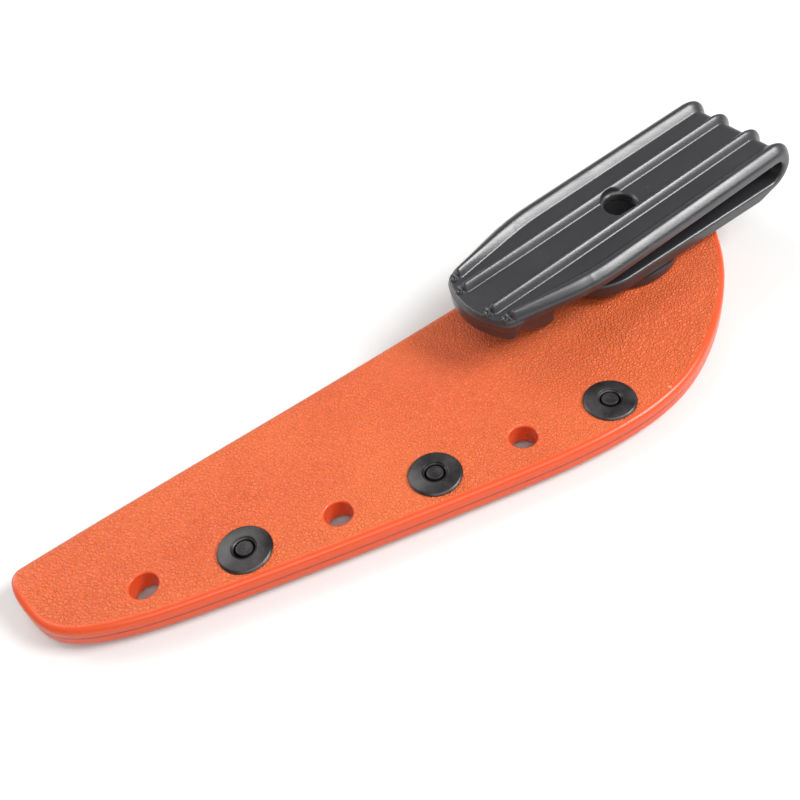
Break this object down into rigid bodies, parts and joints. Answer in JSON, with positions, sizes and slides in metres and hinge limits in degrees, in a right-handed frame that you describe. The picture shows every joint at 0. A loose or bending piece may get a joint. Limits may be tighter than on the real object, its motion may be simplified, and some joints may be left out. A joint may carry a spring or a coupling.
{
  "type": "knife sheath with belt clip",
  "caption": "Folded orange thermoplastic sheath for a rigging knife, riveted seam with lashing holes and a black ribbed belt clip that swivels.",
  "frame": {"origin": "back face of the seam, on the axis of the lashing hole nearest the point", "axes": "+X along the row of seam holes towards the mouth, +Y across to the fold, +Z out of the front leaf, the side with the clip"},
  "size_m": [0.2139, 0.082, 0.0304],
  "materials": {
    "sheath_polymer": "fine leather grain, polished edges",
    "clip_polymer": "satin, lightly scuffed",
    "rivet_black": "black oxide, worn at the rim",
    "stub_black": "black oxide, broken end",
    "screw_black": "black oxide",
    "nut_steel": "zinc plated"
  },
  "bodies": {
    "sheath": {"sheath_shell": "sheath_polymer", "rivet_shell_tip": "rivet_black", "rivet_washer_tip": "rivet_black", "rivet_stub_tip": "stub_black", "rivet_shell_middle": "rivet_black", "rivet_washer_middle": "rivet_black", "rivet_stub_middle": "stub_black", "rivet_shell_mouth": "rivet_black", "rivet_washer_mouth": "rivet_black", "rivet_stub_mouth": "stub_black", "index_disc": "clip_polymer", "tee_nut": "nut_steel", "clip_screw": "screw_black", "lock_washer": "screw_black"},
    "clip_base": {"clip_leg": "clip_polymer"},
    "clip_spring_arm": {"clip_arm": "clip_polymer"}
  },
  "joints": [
    {"name": "clip_swivel", "type": "hinge", "parent": "sheath", "child": "clip_base", "pos_m": [0.138, 0.0443, 0.00935], "axis": [-0.035, -0.074, 0.9966], "range_deg": [-180, 180]},
    {"name": "clip_flex", "type": "hinge", "parent": "clip_base", "child": "clip_spring_arm", "pos_m": [0.18222, 0.05617, 0.02116], "axis": [-0.2741, 0.9597, 0.0616], "range_deg": [0, 9], "stiffness_Nm_per_rad": 8}
  ]
}
